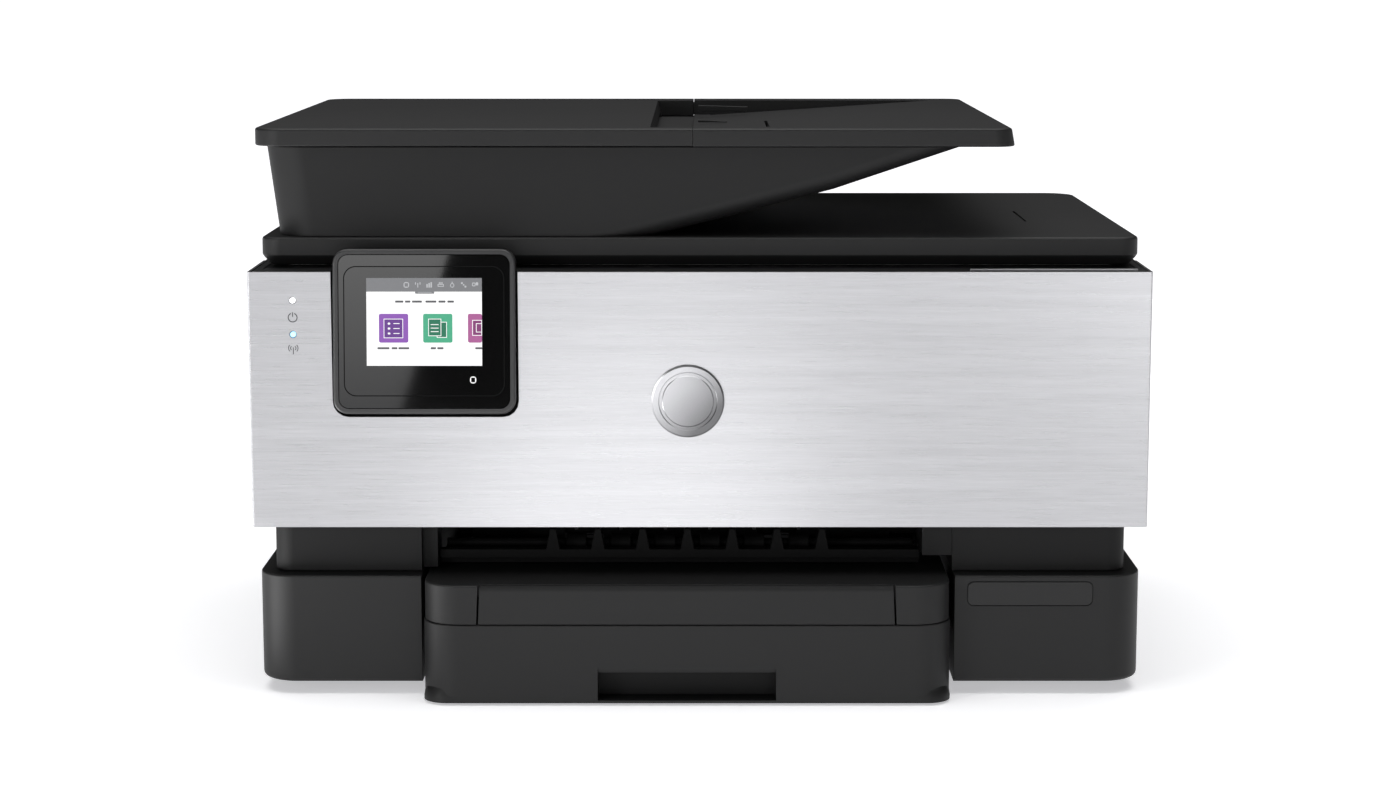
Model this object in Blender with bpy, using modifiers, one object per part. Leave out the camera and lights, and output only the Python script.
"""All-in-one inkjet printer: drawer, print engine, flatbed scanner and document feeder.

The frame: +X to the right of someone facing the printer, +Y to the back, +Z up.
The origin is on the table, under the centre of the printer.
Sizes below are millimetres; MM turns them into metres where a mesh is made.
"""
import math

import bmesh
import bpy
from mathutils import Matrix, Vector

MM = 0.001
GAP = 0.4

# Overall sizes
HALF_WIDTH = 219.7
FRONT = -171.2
REAR = 171.2
TOP = 278.0

# Base: two front modules with the drawer bay between them
BASE_HALF = 218.5
BASE_FRONT = -149.0
BASE_BACK = 150.0
BASE_BOTTOM = 5.8
BASE_TOP = 59.6
BASE_CORNER = 19.0
BAY = (-137.3, 125.5)
BAY_BACK = 144.5
DOORWAY_X = (-128.0, 116.0)
FOOT_X = 178.0
FOOT_RADIUS = 9.0
FEET_Y = (("front", -113.0), ("rear", 125.0))
WALL = 3.0

# Middle housing, narrower, with the output slot in its front
MIDDLE_HALF = 211.3
MIDDLE_FRONT = -139.0
MIDDLE_TOP = 83.7

# Upper unit: metal front, housing and scanner bed
PANEL_BOTTOM = 84.0
PANEL_TOP = 209.9
PANEL_RETURN = -95.0
SHEET = 1.5
DECK_TOP = 209.6
UNIT_BACK = 152.0
UNIT_HINGE = (150.5, 90.0)

# Display, in a notch of the metal front
DISPLAY_X = (-177.9, -89.5)
DISPLAY_Y = (-150.5, -140.0)
DISPLAY_Z = (140.6, 220.6)
DISPLAY_HINGE = (-143.5, 214.0)
DISPLAY_LEAN = 5.0
NOTCH_X = (-179.1, -88.4)
NOTCH_BOTTOM = 138.8

# Scanner lid and document feeder
LID_HALF = 216.2
LID_FRONT = -129.0
LID_BACK = 138.0
LID_BOTTOM = 211.0
LID_TOP = 224.8
LID_HINGE = (144.5, 214.0)
FEEDER_LEFT = -219.1
FEEDER_RIGHT = 154.0
FEEDER_SPLIT = -3.4
FEEDER_BACK = 168.7
FEEDER_LIP = 269.0
COVER_HINGE = (-216.5, 270.6)

# Drawer and output shelf
DRAWER = (-135.6, 122.9)
DRAWER_BOTTOM = 0.9
DRAWER_TOP = 39.8
SHELF_BOTTOM = 40.2
SHELF_TOP = 59.4
EXTENSION = (-108.3, 95.1)
SHEET_CENTRE = -6.4
SHEET_WIDTH = 216.0

# Paper path and carriage, as (y, z) centres of their shafts
FEED_SHAFT = (-68.0, 68.0)
EXIT_SHAFT = (-115.0, 69.5)
STAR_SHAFT = (-115.0, 79.8)
TURN_SHAFT = (121.0, 46.0)
PICK_PIVOT = (58.0, 56.0)
PICK_SHAFT = (15.2, 15.9)
PATH_X = (-125.0, 112.0)
PLATEN_X = (-129.6, 109.5)
PLATEN_FLOOR = 61.0
PLATEN_BAR = (64.3, 68.7, 79.0)
RIB_COUNT = 7
RIB_PITCH = 22.35
FIRST_RIB = -73.3
BELT_CENTRE = (-53.0, 132.5)
PULLEY_X = 196.0

BLACK = ((0.030, 0.030, 0.032, 1.0), 0.38, 0.0)
DARK = ((0.018, 0.018, 0.020, 1.0), 0.50, 0.0)
RUBBER = ((0.020, 0.020, 0.020, 1.0), 0.80, 0.0)
METAL = ((0.62, 0.62, 0.63, 1.0), 0.32, 1.0)
STEEL = ((0.55, 0.55, 0.56, 1.0), 0.30, 1.0)
SILVER = ((0.60, 0.60, 0.62, 1.0), 0.25, 1.0)
WHITE = ((0.80, 0.80, 0.80, 1.0), 0.50, 0.0)
GLASS = ((0.020, 0.022, 0.025, 1.0), 0.06, 0.0)
GREEN = ((0.02, 0.16, 0.06, 1.0), 0.50, 0.0)
LIGHT = ((0.65, 0.85, 0.95, 1.0), 0.20, 0.0)
INKS = {
    "black": ((0.02, 0.02, 0.02, 1.0), 0.40, 0.0),
    "cyan": ((0.0, 0.35, 0.65, 1.0), 0.40, 0.0),
    "magenta": ((0.65, 0.02, 0.25, 1.0), 0.40, 0.0),
    "yellow": ((0.85, 0.65, 0.02, 1.0), 0.40, 0.0),
}


def clear_scene():
    """Removes every object, so that the script can be run again."""
    for item in list(bpy.data.objects):
        bpy.data.objects.remove(item, do_unlink=True)


def new_collection(name):
    """Adds a collection to the scene."""
    collection = bpy.data.collections.new(name)
    bpy.context.scene.collection.children.link(collection)
    return collection


clear_scene()
PARTS = new_collection("inkjet_printer")
CUTTERS = new_collection("cutters")


# Mesh helpers: each returns a bmesh in metres

def box_mesh(x, y, z):
    """A box between two places on each axis."""
    bm = bmesh.new()
    bmesh.ops.create_cube(bm, size=1.0)
    for vert in bm.verts:
        corner = (x[vert.co.x > 0], y[vert.co.y > 0], z[vert.co.z > 0])
        vert.co = Vector(corner) * MM
    return bm


def round_edges(bm, along, radius, steps=3, chosen=lambda middle: True):
    """Rounds the edges that run along one axis and whose middle is chosen."""
    edges = []
    for edge in bm.edges:
        start, end = (vert.co for vert in edge.verts)
        direction = (end - start).normalized()
        if abs(direction[along]) > 0.99 and chosen((start + end) / 2 / MM):
            edges.append(edge)
    bmesh.ops.bevel(bm, geom=edges, offset=radius * MM, offset_type="OFFSET",
                    segments=steps, profile=0.5, affect="EDGES", clamp_overlap=True)
    return bm


def axis_turn(along):
    """The rotation that lays local Z along an axis, with local Y up where it can be."""
    if along == 0:
        return Matrix(((0, 0, 1), (1, 0, 0), (0, 1, 0))).to_4x4()
    if along == 1:
        return Matrix(((1, 0, 0), (0, 0, -1), (0, 1, 0))).to_4x4()
    return Matrix.Identity(4)


def rod_mesh(along, centre, radius, ends, sides=24):
    """A round bar along an axis; centre holds its place on the other two axes."""
    bm = bmesh.new()
    bmesh.ops.create_cone(bm, cap_ends=True, segments=sides, radius1=radius * MM,
                          radius2=radius * MM, depth=(ends[1] - ends[0]) * MM)
    place = list(centre)
    place.insert(along, (ends[0] + ends[1]) / 2)
    bm.transform(Matrix.Translation(Vector(place) * MM) @ axis_turn(along))
    return bm


def prism_mesh(outline, along, ends):
    """A flat outline pulled along an axis; its points are on the other two axes."""
    curve = bpy.data.curves.new("outline", "CURVE")
    curve.dimensions = "2D"
    curve.fill_mode = "BOTH"
    curve.extrude = (ends[1] - ends[0]) / 2 * MM
    spline = curve.splines.new("POLY")
    spline.points.add(len(outline) - 1)
    for point, (across, up) in zip(spline.points, outline):
        point.co = (across * MM, up * MM, 0.0, 1.0)
    spline.use_cyclic_u = True
    item = bpy.data.objects.new("outline", curve)
    CUTTERS.objects.link(item)
    ready = item.evaluated_get(bpy.context.evaluated_depsgraph_get())
    mesh = bpy.data.meshes.new_from_object(ready)
    bm = bmesh.new()
    bm.from_mesh(mesh)
    bmesh.ops.remove_doubles(bm, verts=bm.verts, dist=0.00001)
    bmesh.ops.recalc_face_normals(bm, faces=bm.faces)
    middle = [0.0, 0.0, 0.0]
    middle[along] = (ends[0] + ends[1]) / 2 * MM
    bm.transform(Matrix.Translation(middle) @ axis_turn(along))
    bpy.data.objects.remove(item, do_unlink=True)
    bpy.data.meshes.remove(mesh)
    return bm


def arc(centre, radius, first, last, steps):
    """Points on an arc, from one angle to another in degrees."""
    points = []
    for step in range(steps + 1):
        angle = math.radians(first + (last - first) * step / steps)
        points.append((centre[0] + radius * math.cos(angle), centre[1] + radius * math.sin(angle)))
    return points


def stadium(half_length, radius, centre, steps):
    """A loop with two straight sides and two half-round ends."""
    right = arc((half_length, centre), radius, -90, 90, steps)
    left = arc((-half_length, centre), radius, 90, 270, steps)
    return right + left


# Object helpers

def paint(item, look):
    """Gives an object its own plain material."""
    colour, roughness, metallic = look
    material = bpy.data.materials.new(item.name)
    material.use_nodes = True
    shader = material.node_tree.nodes["Principled BSDF"]
    shader.inputs["Base Color"].default_value = colour
    shader.inputs["Roughness"].default_value = roughness
    shader.inputs["Metallic"].default_value = metallic
    item.data.materials.append(material)


def add_part(name, bm, look, pivot=None):
    """Makes a named part from a bmesh; a moving part rides on its pivot."""
    mesh = bpy.data.meshes.new(name)
    bm.to_mesh(mesh)
    bm.free()
    item = bpy.data.objects.new(name, mesh)
    PARTS.objects.link(item)
    paint(item, look)
    if pivot is not None:
        item.parent = pivot
        item.matrix_parent_inverse = Matrix.Translation(-pivot.location)
    return item


def add_pivot(name, x, y, z, parent=None):
    """An empty on a joint's axis, for the parts that move there."""
    pivot = bpy.data.objects.new(name, None)
    pivot.empty_display_size = 0.02
    PARTS.objects.link(pivot)
    pivot.location = Vector((x, y, z)) * MM
    if parent is not None:
        pivot.parent = parent
        pivot.matrix_parent_inverse = Matrix.Translation(-parent.location)
    return pivot


def combine(item, bm, operation):
    """Cuts a bmesh away from a part, joins it on, or keeps what they share."""
    mesh = bpy.data.meshes.new(item.name + "_tool")
    bm.to_mesh(mesh)
    bm.free()
    tool = bpy.data.objects.new(item.name + "_tool", mesh)
    CUTTERS.objects.link(tool)
    tool.hide_render = True
    tool.display_type = "WIRE"
    if item.parent is not None:
        tool.parent = item.parent
        tool.matrix_parent_inverse = item.matrix_parent_inverse.copy()
    modifier = item.modifiers.new(operation.lower(), "BOOLEAN")
    modifier.operation = operation
    modifier.object = tool
    return tool


def cut(item, bm):
    """Takes a shape away from a part."""
    return combine(item, bm, "DIFFERENCE")


def join(item, bm):
    """Adds a shape to a part."""
    return combine(item, bm, "UNION")


def turned_part(name, profile, along, centre, look, pivot=None, sides=24):
    """A turned part: (radius, place) points from one end to the other, spun on an axis."""
    bm = bmesh.new()
    middle = sum(place for radius, place in (profile[0], profile[-1])) / 2
    verts = [bm.verts.new((radius * MM, 0.0, (place - middle) * MM)) for radius, place in profile]
    for first, second in zip(verts, verts[1:]):
        bm.edges.new((first, second))
    item = add_part(name, bm, look)
    place = list(centre)
    place.insert(along, middle)
    spin = item.modifiers.new("screw", "SCREW")
    spin.axis = "Z"
    spin.steps = sides
    spin.render_steps = sides
    spin.use_merge_vertices = True
    spin.merge_threshold = 0.00001
    item.matrix_basis = Matrix.Translation(Vector(place) * MM) @ axis_turn(along)
    if pivot is not None:
        item.parent = pivot
        item.matrix_parent_inverse = Matrix.Translation(-pivot.location)
    return item


def roller_profile(ends, shaft, rollers):
    """A shaft with wider rollers on it: each roller is (start, end, radius)."""
    low, high = ends
    profile = [(0.0, high), (shaft, high)]
    for start, end, radius in sorted(rollers, reverse=True):
        profile += [(shaft, end), (radius, end), (radius, start), (shaft, start)]
    return profile + [(shaft, low), (0.0, low)]


def gear_outline(centre, root, tip, teeth):
    """A gear's outline: four points to a tooth."""
    points = []
    for tooth in range(teeth):
        for share, radius in ((0.0, root), (0.25, tip), (0.5, tip), (0.75, root)):
            angle = 2 * math.pi * (tooth + share) / teeth
            points.append((centre[0] + radius * math.cos(angle), centre[1] + radius * math.sin(angle)))
    return points


# The printer's sections

def build_base():
    """The base housing, its feet and the blank badge plate on the right module."""
    bm = box_mesh((-BASE_HALF, BASE_HALF), (BASE_FRONT, BASE_BACK), (BASE_BOTTOM, BASE_TOP))
    round_edges(bm, 2, BASE_CORNER, 5)
    base = add_part("base_housing", bm, BLACK)
    cut(base, box_mesh(BAY, (BASE_FRONT - 10, BAY_BACK), (0, 80)))
    for side in ((-BASE_HALF + WALL, BAY[0] - WALL), (BAY[1] + WALL, BASE_HALF - WALL)):
        pocket = box_mesh(side, (BASE_FRONT + WALL, BASE_BACK - WALL), (0, BASE_TOP - WALL))
        outer_x = max(side, key=abs)
        round_edges(pocket, 2, BASE_CORNER - WALL, 5, lambda middle: abs(middle.x - outer_x) < 1)
        cut(base, pocket)
    for rail_x in ((BAY[0] - 1, BAY[0] + 4), (BAY[1] - 4, BAY[1] + 1)):
        join(base, box_mesh(rail_x, (-135, 135), (30.5, 33.5)))
    cut(base, box_mesh(DOORWAY_X, (BAY_BACK - 5, BASE_BACK + 10), (20, 80)))
    plate = box_mesh((132.1, 193.4), (BASE_FRONT - 1.2, BASE_FRONT - 0.3), (44.8, 56.4))
    add_part("badge_plate", round_edges(plate, 1, 3.0, 3), BLACK)
    for side, x in (("left", -FOOT_X), ("right", FOOT_X)):
        for end, y in FEET_Y:
            foot = rod_mesh(2, (x, y), FOOT_RADIUS, (0.0, BASE_TOP - WALL - GAP), 20)
            add_part(f"foot_{end}_{side}", foot, RUBBER)


def build_middle():
    """The narrower housing over the base, open in front for the printed sheets."""
    bm = box_mesh((-MIDDLE_HALF, MIDDLE_HALF), (MIDDLE_FRONT, BASE_BACK), (BASE_TOP + GAP, MIDDLE_TOP))
    round_edges(bm, 2, 10.0, 4)
    middle = add_part("middle_housing", bm, BLACK)
    slot = (-137.7, 124.9)
    cut(middle, box_mesh(slot, (MIDDLE_FRONT - 10, BAY_BACK), (40, 100)))
    for side in ((-MIDDLE_HALF + WALL, slot[0] - WALL), (slot[1] + WALL, MIDDLE_HALF - WALL)):
        pocket = box_mesh(side, (MIDDLE_FRONT + WALL, BASE_BACK - WALL), (BASE_TOP + WALL, 100))
        cut(middle, pocket)
    join(middle, box_mesh((110.0, slot[1] + 1), (MIDDLE_FRONT + 0.8, -96), (67.6, MIDDLE_TOP - 0.5)))
    join(middle, box_mesh((slot[0] - 1, -130.3), (MIDDLE_FRONT + 6, -112), (BASE_TOP + 1, MIDDLE_TOP - 0.5)))
    cut(middle, box_mesh(DOORWAY_X, (BAY_BACK - 5, BASE_BACK + 10), (50, 78)))
    cut(middle, box_mesh((151.0, 175.0), (140, 160), (66.0, 81.0)))


def build_power():
    """The power inlet in the rear wall, the power supply and the main board."""
    inlet = add_part("power_inlet", box_mesh((151.4, 174.6), (141.0, 151.0), (66.4, 80.6)), DARK)
    cut(inlet, round_edges(box_mesh((154, 172), (144, 155), (69, 78)), 1, 3.0, 2))
    join(inlet, rod_mesh(1, (159.0, 73.5), 1.0, (143.0, 149.0), 10))
    join(inlet, rod_mesh(1, (167.0, 73.5), 1.0, (143.0, 149.0), 10))
    supply = box_mesh((132, 202), (40, 138), (BASE_TOP + WALL + GAP, 118))
    add_part("power_supply", round_edges(supply, 2, 3.0, 2), STEEL)
    add_part("main_board", box_mesh((-200, -45), (130, 131.8), (86, 160)), GREEN)


def build_paper_path():
    """Platen, guide and the shafts that carry the sheet, all along X."""
    left, right = PLATEN_X
    bar_bottom, bar_top, rib_top = PLATEN_BAR
    outline = [(left, bar_bottom), (right, bar_bottom), (right, bar_top)]
    for rib in reversed(range(RIB_COUNT)):
        x = FIRST_RIB + rib * RIB_PITCH
        outline += [(x + 3.4, bar_top), (x + 1.4, rib_top), (x - 1.4, rib_top), (x - 3.4, bar_top)]
    outline.append((left, bar_top))
    platen = add_part("platen", prism_mesh(outline, 1, (-129.0, -122.5)), DARK)
    join(platen, box_mesh(PLATEN_X, (-124.5, -122.0), (PLATEN_FLOOR, bar_top - 1.0)))
    join(platen, box_mesh(PLATEN_X, (-123.0, -77.0), (PLATEN_FLOOR, PLATEN_FLOOR + 2.2)))
    guide = box_mesh((PATH_X[0] + 5, PATH_X[1] - 30), (-58, 98), (69.5, 72.0))
    add_part("paper_guide", guide, DARK)

    feed = add_pivot("feed_pivot", 0, *FEED_SHAFT)
    rollers = [(-118, -70, 6.0), (-50, 30, 6.0), (50, 98, 6.0)]
    turned_part("feed_roller", roller_profile((-125, 112), 3.5, rollers), 0, FEED_SHAFT, RUBBER, feed)
    gear = gear_outline(FEED_SHAFT, 15.0, 16.4, 30)
    add_part("drive_gear", prism_mesh(gear, 0, (114.5, 120.0)), WHITE, feed)

    exit_pivot = add_pivot("exit_pivot", 0, *EXIT_SHAFT)
    between_ribs = [FIRST_RIB + (rib + 0.5) * RIB_PITCH for rib in range(RIB_COUNT - 1)]
    wheels = [(x - 5.0, x + 5.0, 4.6) for x in between_ribs]
    profile = roller_profile((-127, 107), 2.2, wheels)
    turned_part("exit_roller", profile, 0, EXIT_SHAFT, RUBBER, exit_pivot, 16)
    star_pivot = add_pivot("star_pivot", 0, *STAR_SHAFT)
    stars = [(x - 0.8, x + 0.8, 3.9) for x in between_ribs]
    profile = roller_profile((-127, 107), 1.0, stars)
    turned_part("star_wheels", profile, 0, STAR_SHAFT, STEEL, star_pivot, 12)

    turn = add_pivot("turn_pivot", 0, *TURN_SHAFT)
    rollers = [(-110, -60, 20.0), (-35, 22, 20.0), (47, 97, 20.0)]
    turned_part("turn_roller", roller_profile((-122, 109), 5.0, rollers), 0, TURN_SHAFT, RUBBER, turn)

    swing = add_pivot("pick_pivot", 0, *PICK_PIVOT)
    along = math.atan2(PICK_SHAFT[1] - PICK_PIVOT[1], PICK_SHAFT[0] - PICK_PIVOT[0])
    degrees = math.degrees(along)
    arm = arc(PICK_PIVOT, 6.0, degrees + 90, degrees + 270, 6)
    arm += arc(PICK_SHAFT, 5.0, degrees - 90, degrees + 90, 6)
    add_part("pick_arm", prism_mesh(arm, 0, (-2.0, 6.0)), DARK, swing)
    pick = add_pivot("pick_roller_pivot", 0, *PICK_SHAFT, parent=swing)
    profile = roller_profile((-28, -2.6), 3.0, [(-26, -4, 12.0)])
    turned_part("pick_roller", profile, 0, PICK_SHAFT, RUBBER, pick)

    reach = 21.6
    pinion_centre = (FEED_SHAFT[0] + reach * math.sqrt(0.5), FEED_SHAFT[1] - reach * math.sqrt(0.5))
    pinion = add_pivot("pinion_pivot", 0, *pinion_centre)
    teeth = gear_outline(pinion_centre, 3.6, 4.8, 9)
    add_part("motor_pinion", prism_mesh(teeth, 0, (114.5, 120.0)), SILVER, pinion)
    add_part("feed_motor", rod_mesh(0, pinion_centre, 9.2, (84.0, 113.5), 20), STEEL)


def build_carriage():
    """Chassis plate, rail, belt drive, service station and the carriage with its cartridges."""
    plate = add_part("chassis_plate", box_mesh((-206, 206), (-39.5, -37.5), (86.0, 150.0)), STEEL)
    join(plate, box_mesh((-206, 206), (-38.0, -20.0), (148.0, 150.0)))
    add_part("carriage_rail", box_mesh((-204, 204), (-46.0, -40.0), (117.0, 123.0)), STEEL)
    station = box_mesh((134, 194), (-126, -50), (BASE_TOP + WALL + GAP, 96.0))
    cut(add_part("service_station", station, DARK), box_mesh((140, 188), (-120, -56), (90, 100)))

    carriage_pivot = add_pivot("carriage_pivot", 160, *BELT_CENTRE)
    bm = box_mesh((118.0, 202.0), (-130.0, -60.0), (98.5, 146.0))
    carriage = add_part("carriage", round_edges(bm, 2, 2.0, 2), DARK, carriage_pivot)
    cut(carriage, box_mesh((120.5, 199.5), (-127.5, -62.5), (102.0, 160.0)))
    join(carriage, box_mesh((124.0, 196.0), (-61.0, -46.5), (103.0, 127.0)))
    pitch = 19.75
    for place, (ink, look) in enumerate(INKS.items()):
        x = 121.0 + place * pitch
        tank = box_mesh((x, x + pitch - 1.0), (-127.0, -63.0), (102.5, 158.0))
        round_edges(tank, 0, 4.0, 2, lambda middle: middle.z > 150)
        add_part(f"cartridge_{ink}", tank, look, carriage_pivot)

    y, z = BELT_CENTRE
    belt = prism_mesh(stadium(PULLEY_X, 5.0, y, 8), 2, (z - 2.5, z + 2.5))
    belt_part = add_part("carriage_belt", belt, RUBBER)
    cut(belt_part, prism_mesh(stadium(PULLEY_X, 4.0, y, 8), 2, (z - 6, z + 6)))
    for name, x in (("drive_pulley", -PULLEY_X), ("idler_pulley", PULLEY_X)):
        pivot = add_pivot(name + "_pivot", x, y, z)
        add_part(name, rod_mesh(2, (x, y), 3.6, (z - 3.0, z + 3.0), 16), SILVER, pivot)
    add_part("carriage_motor", rod_mesh(2, (-PULLEY_X, y), 9.2, (z + 4.0, z + 32.0), 20), STEEL)


def build_rear_door():
    """The access door over the paper turn, hinged along its lower edge."""
    pivot = add_pivot("rear_door_pivot", 0, 158.0, 16.0)
    bm = box_mesh((-138, 126), (BASE_BACK + 1.5, REAR), (12.0, 82.5))
    round_edges(bm, 2, 8.0, 3, lambda middle: middle.y > 160)
    round_edges(bm, 0, 6.0, 3, lambda middle: middle.y > 160 and middle.z > 70)
    door = add_part("rear_access_door", bm, BLACK, pivot)
    cut(door, box_mesh((-134, 122), (BASE_BACK - 5, REAR - WALL), (20.0, 79.5)))


def build_unit(unit):
    """The lifting upper unit: housing, metal front, badge and lights."""
    height = (PANEL_BOTTOM + 0.3, DECK_TOP)
    wide = box_mesh((-219.4, 219.4), (PANEL_RETURN + GAP, UNIT_BACK), height)
    round_edges(wide, 2, 10.0, 3, lambda middle: middle.y > 0)
    housing = add_part("upper_housing", wide, BLACK, unit)
    join(housing, box_mesh((-217.9, 217.9), (-147.2, -80.0), height))
    cut(housing, box_mesh((-214.2, 214.2), (-144.2, 148.8), (70, 206.6)))
    cut(housing, box_mesh((-214.2, 214.2), (-134.4, 148.8), (200, 230)))
    join(housing, box_mesh((-184, -83), (-145, -135), (132.0, DECK_TOP - 0.1)))
    cut(housing, box_mesh((NOTCH_X[0] - 0.5, NOTCH_X[1] + 0.5), (-160, -137.6), (137.0, 230)))

    bm = box_mesh((-HALF_WIDTH, HALF_WIDTH), (BASE_FRONT, PANEL_RETURN), (PANEL_BOTTOM, PANEL_TOP))
    round_edges(bm, 2, 1.2, 2, lambda middle: middle.y < -140)
    skin = add_part("front_panel", bm, METAL, unit)
    inner = (-HALF_WIDTH + SHEET, HALF_WIDTH - SHEET)
    cut(skin, box_mesh(inner, (BASE_FRONT + SHEET, 0), (0, 300)))
    notch = box_mesh(NOTCH_X, (-170, -140), (NOTCH_BOTTOM, 250))
    cut(skin, round_edges(notch, 1, 7.7, 4, lambda middle: middle.z < 200))
    for name, z in (("power_light", 196.0), ("wireless_light", 179.4)):
        cut(skin, rod_mesh(1, (-197.8, z), 1.8, (-160, -140), 12))
        add_part(name, rod_mesh(1, (-197.8, z), 1.4, (BASE_FRONT, BASE_FRONT + SHEET), 12), LIGHT, unit)
    badge = [(0, -0.3), (16.6, -0.3), (17.8, -0.7), (17.8, -1.0), (16.6, -1.5), (0, -1.5)]
    profile = [(radius, BASE_FRONT + depth) for radius, depth in badge]
    turned_part("round_badge", profile, 1, (-5.9, 146.7), SILVER, unit, 36)


def build_display(unit):
    """The display housing and its touch glass, leaning back in the notch."""
    pivot = add_pivot("display_pivot", 0, *DISPLAY_HINGE, parent=unit)
    lean = math.radians(-DISPLAY_LEAN)
    origin = Vector((0, *DISPLAY_HINGE)) * MM
    turn = Matrix.Translation(origin) @ Matrix.Rotation(lean, 4, "X") @ Matrix.Translation(-origin)
    bm = box_mesh(DISPLAY_X, DISPLAY_Y, DISPLAY_Z)
    bm = round_edges(bm, 1, 7.0, 4)
    bm.transform(turn)
    housing = add_part("display_housing", bm, BLACK, pivot)
    rim = 2.6
    front = DISPLAY_Y[0]
    glass_x = (DISPLAY_X[0] + rim, DISPLAY_X[1] - rim)
    glass_z = (DISPLAY_Z[0] + rim, DISPLAY_Z[1] - rim)
    recess = round_edges(box_mesh(glass_x, (front - 5, front + 1.8), glass_z), 1, 5.0, 3)
    recess.transform(turn)
    cut(housing, recess)
    inset_x = (glass_x[0] + GAP, glass_x[1] - GAP)
    inset_z = (glass_z[0] + GAP, glass_z[1] - GAP)
    glass = round_edges(box_mesh(inset_x, (front + 0.1, front + 1.4), inset_z), 1, 4.6, 3)
    glass.transform(turn)
    add_part("touch_glass", glass, GLASS, pivot)


def build_scanner(unit):
    """The scanner bed with its glass, the scan bar under it and the lid's hinges."""
    bed = add_part("scanner_bed", box_mesh((-213.8, 213.8), (-134, 148.4), (176.3, DECK_TOP)), BLACK, unit)
    cut(bed, box_mesh((-210.5, 210.5), (-130.5, 145.0), (179.0, 204.5)))
    cut(bed, box_mesh((-200, 147), (-109, 111), (200, 215)))
    cut(bed, box_mesh((-203, 150), (-112, 114), (206.8, 215)))
    add_part("scanner_glass", box_mesh((-202.6, 149.6), (-111.6, 113.6), (207.2, DECK_TOP - 0.2)), GLASS, unit)
    slide = add_pivot("scan_pivot", -200, 0, 194, parent=unit)
    bar = round_edges(box_mesh((-208, -190), (-126, 128), (186, 202)), 1, 2.0, 2)
    add_part("scan_bar", bar, DARK, slide)
    for side, x in (("left", -150.0), ("right", 150.0)):
        hinge = add_part(f"lid_hinge_{side}", rod_mesh(0, LID_HINGE, 3.6, (x - 16, x + 16), 16), STEEL, unit)
        join(hinge, box_mesh((x - 12, x + 12), (142.4, 146.6), (DECK_TOP + 0.3, 214)))


def build_lid(unit):
    """The scanner lid and the document feeder that it carries."""
    lid_pivot = add_pivot("lid_pivot", 0, *LID_HINGE, parent=unit)
    bm = box_mesh((-LID_HALF, LID_HALF), (LID_FRONT, LID_BACK), (LID_BOTTOM, LID_TOP))
    round_edges(bm, 2, 17.0, 4, lambda middle: middle.y > 0)
    round_edges(bm, 2, 10.0, 4, lambda middle: middle.y < 0 and abs(middle.x) > 210)
    lid = add_part("scanner_lid", bm, BLACK, lid_pivot)
    cut(lid, box_mesh((-208, 208), (-120, 128), (205, LID_TOP - WALL)))
    cut(lid, box_mesh((168.2, 170.4), (-44, 15), (LID_TOP - 1.0, LID_TOP + 5)))
    pad = round_edges(box_mesh((-205, 205), (-117, 125), (LID_BOTTOM - 1.0, LID_TOP - WALL - GAP)), 2, 3.0, 2)
    pad_part = add_part("backing_pad", pad, WHITE, lid_pivot)
    cut(pad_part, box_mesh((-199, 199), (-111, 119), (LID_BOTTOM + 2.5, LID_TOP)))

    outline = [(-209.0, LID_TOP + 0.3), (-40.0, LID_TOP + 0.3), (57.8, 247.6), (126.0, 268.6)]

    def front_left(middle):
        return middle.x < -200 and middle.y < 0

    body_mesh = prism_mesh(outline + [(-214.6, 268.6)], 1, (-125.5, 160.0))
    body = add_part("adf_body", round_edges(body_mesh, 2, 20.0, 5, front_left), BLACK, lid_pivot)
    inside = [(-205.0, 228.4), (-41.0, 228.4), (57.0, 251.6), (100.0, 264.8), (100.0, 280.0), (-211.0, 280.0)]
    hollow = prism_mesh(inside, 1, (-122.0, 156.5))
    cut(body, round_edges(hollow, 2, 17.0, 5, front_left))

    corner = 14.0
    bm = box_mesh((FEEDER_LEFT, FEEDER_SPLIT - 0.3), (LID_FRONT, FEEDER_BACK), (FEEDER_LIP + 0.3, TOP))
    round_edges(bm, 2, corner, 4, lambda middle: middle.x < -200)
    cover_pivot = add_pivot("cover_pivot", COVER_HINGE[0], 0, COVER_HINGE[1], parent=lid_pivot)
    cover = add_part("adf_cover", bm, BLACK, cover_pivot)
    cut(cover, box_mesh((-204, -30), (-120, 155), (260, TOP - WALL)))
    well = [(-24.5, TOP + 1), (-20.5, 262.0), (10.0, 262.0), (10.0, TOP + 1)]
    cut(cover, prism_mesh(well, 1, (-118.0, 145.0)))
    cut(cover, box_mesh((-40, -15), (-110, 137), (260, FEEDER_LIP + 2.8)))

    bm = box_mesh((FEEDER_SPLIT + 0.3, FEEDER_RIGHT), (LID_FRONT, FEEDER_BACK), (FEEDER_LIP, TOP))
    round_edges(bm, 2, 17.0, 4, lambda middle: middle.x > 100)
    tray = add_part("adf_tray", bm, BLACK, lid_pivot)
    cut_ramp(tray)
    cut(tray, box_mesh((32.6, 34.4), (-113, -58), (TOP - 4, TOP + 5)))
    join(tray, box_mesh((FEEDER_SPLIT + 0.3, 6.0), (-117.0, 144.0), (FEEDER_LIP - 3.0, FEEDER_LIP + 1.0)))
    join(tray, box_mesh((-27.0, FEEDER_SPLIT + 2), (-117.0, 144.0), (FEEDER_LIP - 3.0, FEEDER_LIP - 0.2)))
    build_feeder_inside(lid_pivot)


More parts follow.
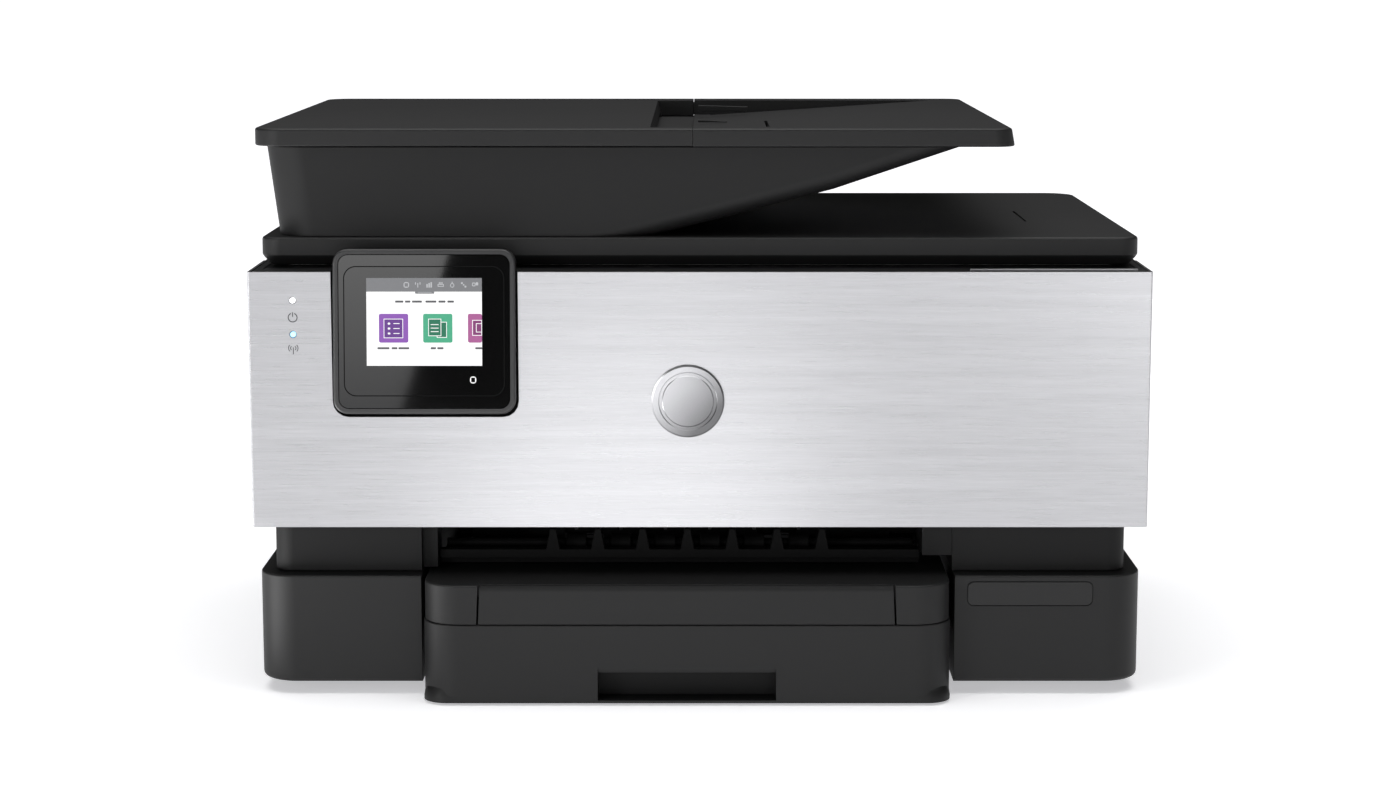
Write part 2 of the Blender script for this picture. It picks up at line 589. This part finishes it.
def cut_ramp(tray):
    """Cuts the sheet ramp: a plane that sinks to the left of a slanting crest."""
    crest_start = Vector((16.0, -100.0, TOP))
    crest = Vector((118.0, 247.0, 0.0)).normalized()
    slope = math.radians(4.2)
    across = Vector((-crest.y, crest.x, 0.0))
    down = (across * math.cos(slope) - Vector((0, 0, 1)) * math.sin(slope)).normalized()
    up = crest.cross(down)
    turn = Matrix((crest, down, up)).transposed().to_4x4()
    bm = box_mesh((-150, 350), (0, 250), (0, 60))
    bm.transform(Matrix.Translation(crest_start * MM) @ turn)
    tool = cut(tray, bm)
    combine(tool, box_mesh((-10, 160), (-118, 145), (240, 300)), "INTERSECT")


def build_feeder_inside(lid_pivot):
    """The feeder's two rollers and its pair of sliding sheet guides."""
    for name, x, radius in (("adf_pick_roller", -62.0, 9.0), ("adf_feed_roller", -112.0, 8.0)):
        z = 256.0
        pivot = add_pivot(name + "_pivot", x, 0, z, parent=lid_pivot)
        profile = roller_profile((-100, 120), 3.0, [(-40, 60, radius)])
        turned_part(name, profile, 1, (x, z), RUBBER, pivot, 20)
    for name, y, reach, bottom in (("front", -50.0, 14.0, 276.6), ("rear", 96.0, 27.0, 274.4)):
        pivot = add_pivot(f"adf_guide_{name}_pivot", 0, y, bottom, parent=lid_pivot)
        plate = box_mesh((-1.0, reach), (y - 1.6, y + 1.6), (bottom, TOP - 0.2))
        add_part(f"adf_guide_{name}", plate, BLACK, pivot)


def build_drawer():
    """The paper drawer with its side guides, the output shelf and its extension."""
    pivot = add_pivot("drawer_pivot", SHEET_CENTRE, FRONT, 20)
    face = box_mesh(DRAWER, (FRONT, -150.5), (DRAWER_BOTTOM, DRAWER_TOP))
    round_edges(face, 2, 18.0, 5, lambda middle: middle.y < -160)
    drawer = add_part("paper_drawer", face, BLACK, pivot)
    left, right = DRAWER[0] + 4.6, DRAWER[1] - 4.6
    join(drawer, box_mesh((left, right), (-151.0, 108.0), (DRAWER_BOTTOM, 37.0)))
    join(drawer, box_mesh((left - 3.8, right + 3.8), (-151.0, 108.0), (34.2, 37.0)))
    cut(drawer, box_mesh((left + 2.4, right - 2.4), (-165.0, 105.6), (DRAWER_BOTTOM + 2.4, 60.0)))
    cut(drawer, box_mesh((left + 2.4, right - 2.4), (90.0, 120.0), (DRAWER_BOTTOM + 2.4, 60.0)))
    cut(drawer, box_mesh((-49.9, 37.1), (FRONT - 5, -166.4), (-5.0, 19.0)))

    for side, sign in (("left", -1), ("right", 1)):
        x = SHEET_CENTRE + sign * (SHEET_WIDTH / 2 + 1.4)
        guide_pivot = add_pivot(f"width_guide_{side}_pivot", x, -20, 5, parent=pivot)
        guide = add_part(f"width_guide_{side}", box_mesh((x - 1.2, x + 1.2), (-60, 20), (4.0, 30.0)), DARK,
                         guide_pivot)
        inward = sorted((x, x - sign * 22.0))
        join(guide, box_mesh(inward, (-35, -5), (4.0, 5.6)))

    shelf = add_part("output_shelf", shelf_mesh(), BLACK, pivot)
    cut(shelf, box_mesh((-128.6, 115.9), (-165.0, -80.0), (SHELF_BOTTOM - 5, SHELF_TOP - 3.0)))
    cut(shelf, box_mesh((EXTENSION[0] - GAP, EXTENSION[1] + GAP), (FRONT - 5, -160.0), (0, 53.2)))
    cut(shelf, box_mesh((EXTENSION[0] - GAP, EXTENSION[1] + GAP), (FRONT - 5, -167.2), (0, 80)))

    slide = add_pivot("extension_pivot", SHEET_CENTRE, FRONT, 50, parent=pivot)
    front = box_mesh(EXTENSION, (FRONT, -167.6), (SHELF_BOTTOM, SHELF_TOP - 0.5))
    round_edges(front, 0, 2.0, 2, lambda middle: middle.z > 50 and middle.y < -170)
    extension = add_part("shelf_extension", front, BLACK, slide)
    join(extension, box_mesh((-100, 87), (-168.5, -96), (50.0, 52.6)))


def shelf_mesh():
    """The output shelf's outer shape, its two front corners rounded like the drawer's."""
    bm = box_mesh((DRAWER[0] + 0.6, DRAWER[1] - 0.6), (FRONT, -92.0), (SHELF_BOTTOM, SHELF_TOP))
    round_edges(bm, 2, 18.0, 5, lambda middle: middle.y < -160)
    return bm


def main():
    """Builds every section."""
    build_base()
    build_middle()
    build_power()
    build_paper_path()
    build_carriage()
    build_rear_door()
    unit = add_pivot("unit_pivot", 0, *UNIT_HINGE)
    build_unit(unit)
    build_display(unit)
    build_scanner(unit)
    build_lid(unit)
    build_drawer()
    bpy.context.view_layer.update()


main()
